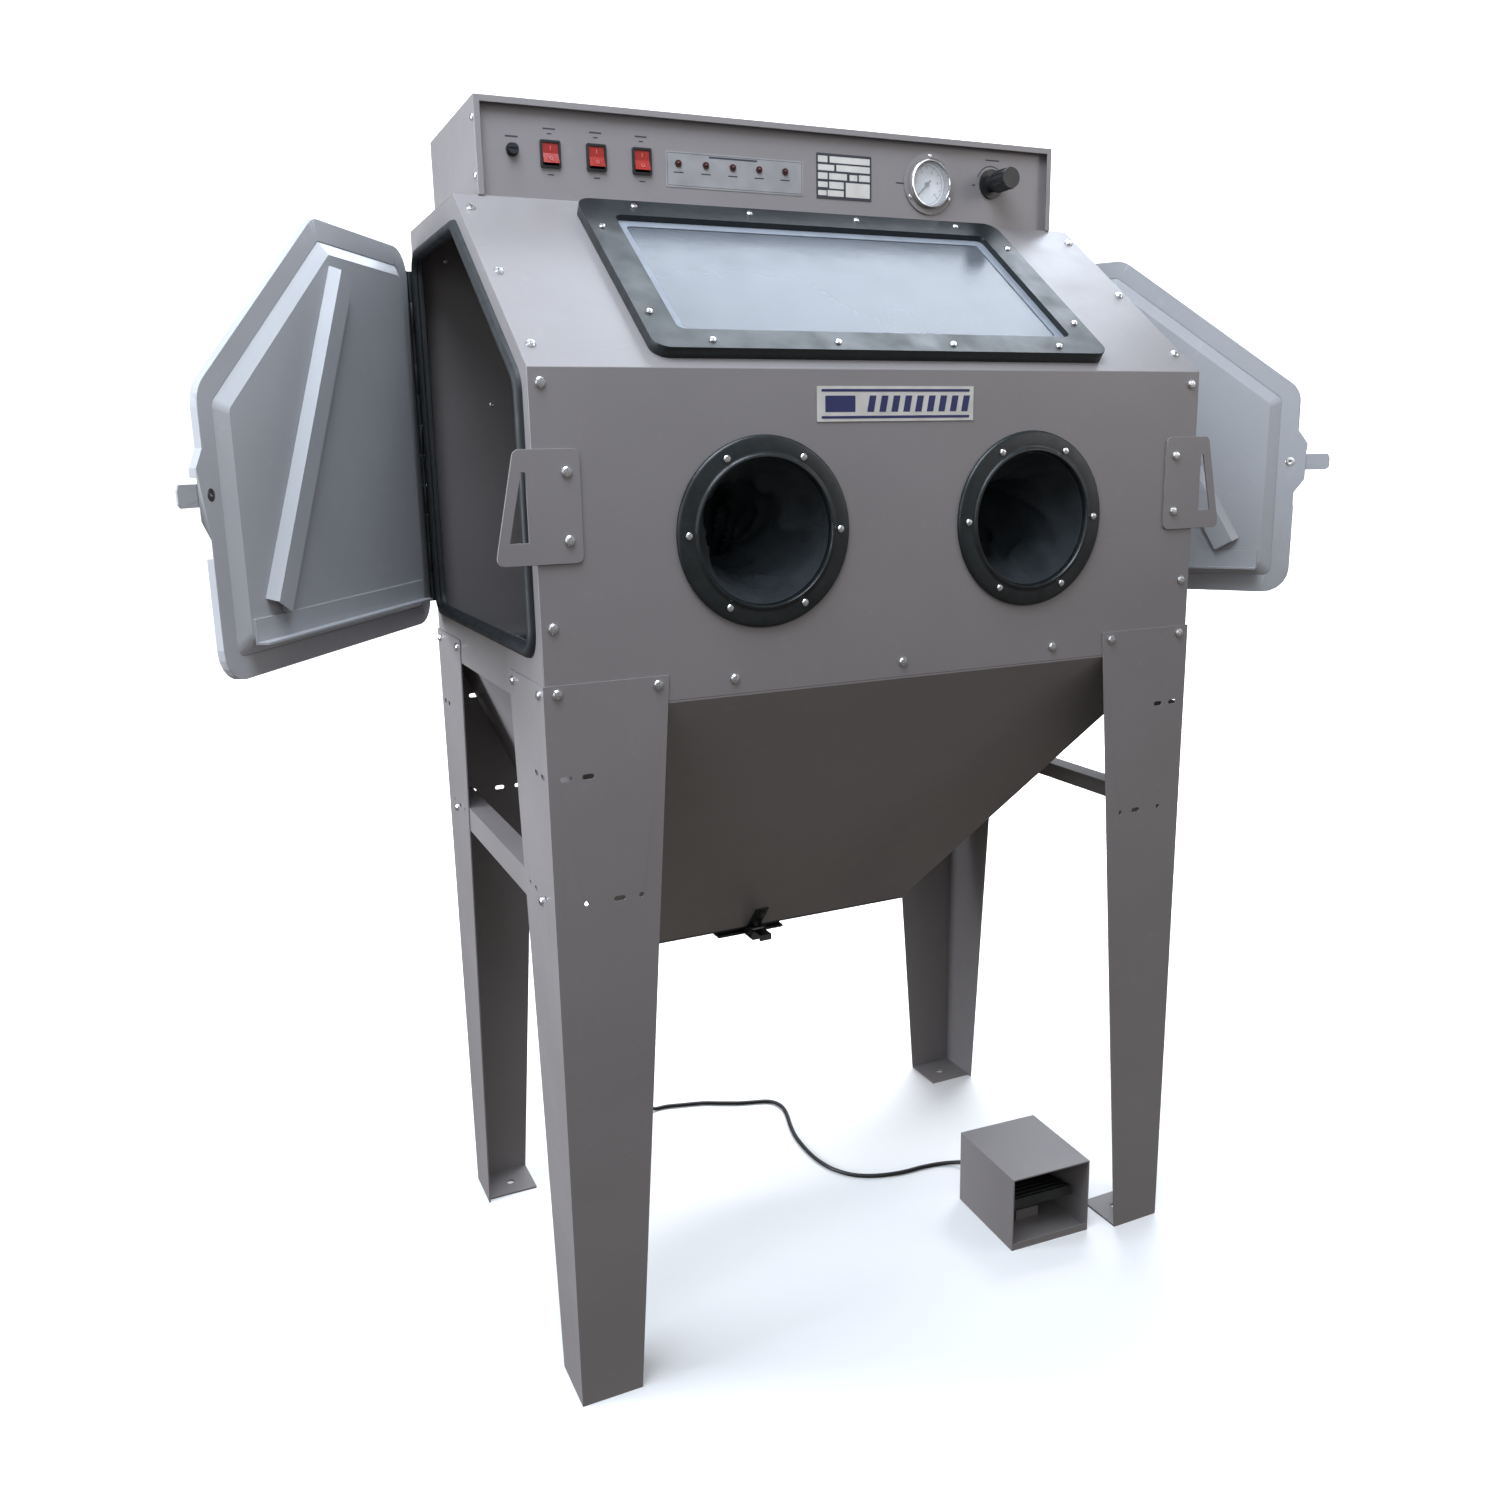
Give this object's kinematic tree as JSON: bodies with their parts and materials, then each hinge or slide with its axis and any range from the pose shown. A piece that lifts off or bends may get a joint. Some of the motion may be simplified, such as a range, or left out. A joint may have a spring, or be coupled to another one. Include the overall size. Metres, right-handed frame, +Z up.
{
  "type": "sandblast cabinet",
  "caption": "Floor-standing glove blasting cabinet with sloped window, side doors standing part open, media hopper, control box on the roof and a corded foot pedal.",
  "frame": {"origin": "on the floor, midway between the four anchor holes in the feet", "axes": "+X to the user's right, +Y away from the user, towards the back, +Z up"},
  "size_m": [1.6134, 0.6507, 1.5905],
  "materials": {
    "body_enamel": "satin powder coat, grey",
    "sheet_enamel": "satin powder coat, light blue grey",
    "black_enamel": "satin black",
    "zinc": "bright zinc plate",
    "chrome_trim": "polished",
    "black_rubber": "matt rubber",
    "black_plastic": "fine-grain black",
    "red_plastic": "translucent red",
    "white_plastic": "gloss",
    "label_stock": "matt printed film",
    "window_glass": "clear, lightly dusted",
    "lens_clear": "clear",
    "cast_alloy": "as cast",
    "filter_paper": "pleated filter paper",
    "cable_sheath": "black cable sheath"
  },
  "bodies": {
    "cabinet": {"front_top_panel": "body_enamel", "back_panel": "sheet_enamel", "left_side_panel": "sheet_enamel", "right_side_panel": "sheet_enamel", "hopper_front": "body_enamel", "hopper_rear": "sheet_enamel", "hopper_left": "sheet_enamel", "hopper_right": "sheet_enamel", "hopper_floor": "black_enamel", "front_left_leg": "body_enamel", "front_right_leg": "body_enamel", "rear_left_leg": "body_enamel", "rear_right_leg": "body_enamel", "side_braces": "sheet_enamel", "control_box_shell": "sheet_enamel", "control_panel": "body_enamel", "left_door_gasket": "black_rubber", "right_door_gasket": "black_rubber", "window_frame": "black_enamel", "window_glass": "window_glass", "glove_rings": "black_enamel", "left_glove": "black_rubber", "right_glove": "black_rubber", "catch_plates": "sheet_enamel", "work_grate": "sheet_enamel", "lamp_housing": "sheet_enamel", "lamp_tube": "white_plastic", "dust_fan": "black_plastic", "filter_cartridge": "filter_paper", "rear_ports": "zinc", "gauge_case": "chrome_trim", "gauge_lens": "lens_clear", "regulator_body": "black_plastic", "indicator_lamps": "red_plastic", "label_plates": "label_stock", "fuse_holder": "black_plastic", "switch_bezels": "black_plastic", "sheet_screws": "zinc", "trim_screws": "zinc", "gun_hook": "body_enamel", "door_hinges": "black_enamel", "pedal_housing": "sheet_enamel", "cord_glands": "black_rubber", "pedal_cord": "cable_sheath"},
    "left_door": {"left_door": "sheet_enamel", "left_door_fittings": "sheet_enamel"},
    "right_door": {"right_door": "sheet_enamel", "right_door_fittings": "sheet_enamel"},
    "left_latch": {"left_door_latch": "sheet_enamel"},
    "right_latch": {"right_door_latch": "sheet_enamel"},
    "power_switch": {"power_rocker": "red_plastic"},
    "light_switch": {"light_rocker": "red_plastic"},
    "dust_switch": {"dust_rocker": "red_plastic"},
    "fuse_cap": {"fuse_cap": "black_plastic"},
    "regulator_knob": {"regulator_knob": "black_plastic"},
    "gauge_needle": {"gauge_needle": "black_plastic"},
    "trap_door": {"trap_door": "black_enamel"},
    "trap_latch": {"trap_latch": "zinc"},
    "foot_pedal": {"pedal_plate": "black_enamel"},
    "blast_gun": {"blast_gun": "cast_alloy"}
  },
  "joints": [
    {"name": "left_door_hinge", "type": "hinge", "parent": "cabinet", "child": "left_door", "pos_m": [-0.468, 0.272, 1.2], "axis": [0, 0, -1], "range_deg": [-35, 75]},
    {"name": "right_door_hinge", "type": "hinge", "parent": "cabinet", "child": "right_door", "pos_m": [0.468, 0.272, 1.2], "axis": [0, 0, 1], "range_deg": [-35, 75]},
    {"name": "left_latch_pivot", "type": "hinge", "parent": "left_door", "child": "left_latch", "pos_m": [-0.77421, -0.15938, 1.132], "axis": [0.8192, -0.5736, 0], "range_deg": [-5, 80]},
    {"name": "right_latch_pivot", "type": "hinge", "parent": "right_door", "child": "right_latch", "pos_m": [0.77421, -0.15938, 1.132], "axis": [0.8192, 0.5736, 0], "range_deg": [-5, 80]},
    {"name": "power_switch_rock", "type": "hinge", "parent": "cabinet", "child": "power_switch", "pos_m": [-0.333, 0.013, 1.531], "axis": [1, 0, 0], "range_deg": [0, 24]},
    {"name": "light_switch_rock", "type": "hinge", "parent": "cabinet", "child": "light_switch", "pos_m": [-0.273, 0.013, 1.531], "axis": [1, 0, 0], "range_deg": [0, 24]},
    {"name": "dust_switch_rock", "type": "hinge", "parent": "cabinet", "child": "dust_switch", "pos_m": [-0.212, 0.013, 1.531], "axis": [1, 0, 0], "range_deg": [0, 24]},
    {"name": "fuse_cap_turn", "type": "hinge", "parent": "cabinet", "child": "fuse_cap", "pos_m": [-0.381, 0.013, 1.533], "axis": [0, -1, 0], "range_deg": [0, 60]},
    {"name": "regulator_turn", "type": "hinge", "parent": "cabinet", "child": "regulator_knob", "pos_m": [0.328, 0.013, 1.537], "axis": [0, -1, 0], "range_deg": [-360, 360]},
    {"name": "gauge_needle_turn", "type": "hinge", "parent": "cabinet", "child": "gauge_needle", "pos_m": [0.222, 0.013, 1.531], "axis": [0, 1, 0], "range_deg": [0, 270], "stiffness_Nm_per_rad": 0.0005, "springref_deg": -28.65},
    {"name": "trap_door_hinge", "type": "hinge", "parent": "cabinet", "child": "trap_door", "pos_m": [-0.03, 0.2365, 0.412], "axis": [1, 0, 0], "range_deg": [0, 95]},
    {"name": "trap_latch_pivot", "type": "hinge", "parent": "cabinet", "child": "trap_latch", "pos_m": [-0.03, 0.098, 0.424], "axis": [1, 0, 0], "range_deg": [-50, 0]},
    {"name": "foot_pedal_press", "type": "hinge", "parent": "cabinet", "child": "foot_pedal", "pos_m": [0.27977, -0.15666, 0.04], "axis": [0.9986, -0.0523, 0], "range_deg": [0, 12], "stiffness_Nm_per_rad": 2, "springref_deg": -34.38},
    {"name": "gun_lift", "type": "slide", "parent": "cabinet", "child": "blast_gun", "axis": [0, 0, 1], "range_m": [0, 0.05]}
  ]
}
